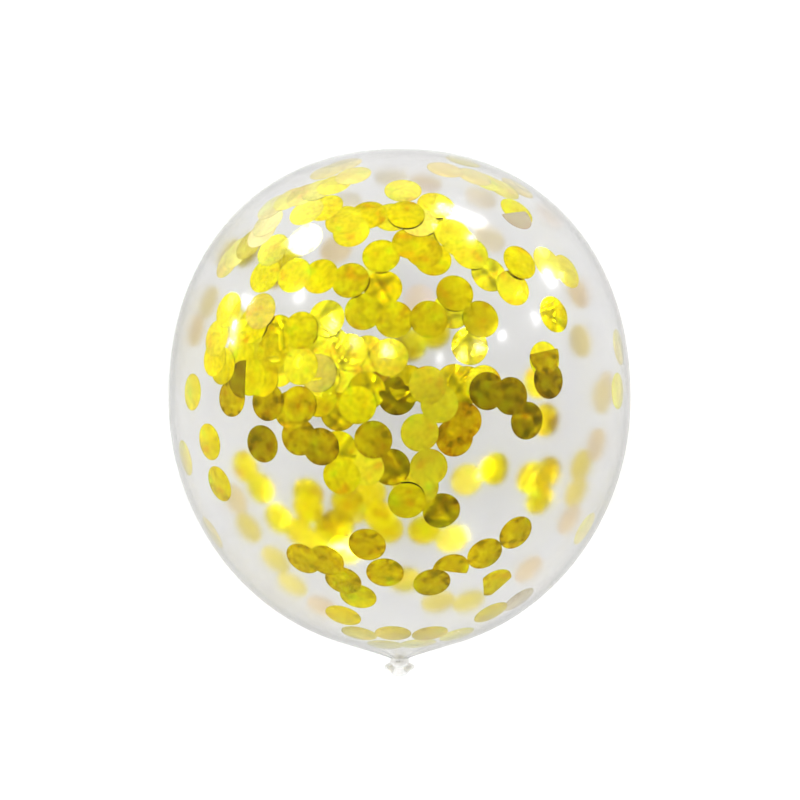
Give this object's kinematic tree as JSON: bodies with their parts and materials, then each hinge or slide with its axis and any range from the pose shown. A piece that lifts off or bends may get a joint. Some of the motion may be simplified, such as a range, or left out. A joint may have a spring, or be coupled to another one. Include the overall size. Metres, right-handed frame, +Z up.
{
  "type": "confetti balloon",
  "caption": "Clear round party balloon with a tied knot and a short drooping tail, lying on its side, with gold foil discs clinging inside its wall.",
  "frame": {"origin": "middle of the small flat spot that the balloon lies on", "axes": "+Z up; +Y along the balloon's own axis towards its crown, so the tied neck is at -Y"},
  "size_m": [0.305, 0.3499, 0.3034],
  "materials": {
    "clear_latex": "glossy, clear, faintly milky where it is less stretched",
    "gold_foil": "mirror-like metallised film, slightly creased"
  },
  "bodies": {
    "root": {"balloon": "clear_latex"}
  },
  "joints": []
}
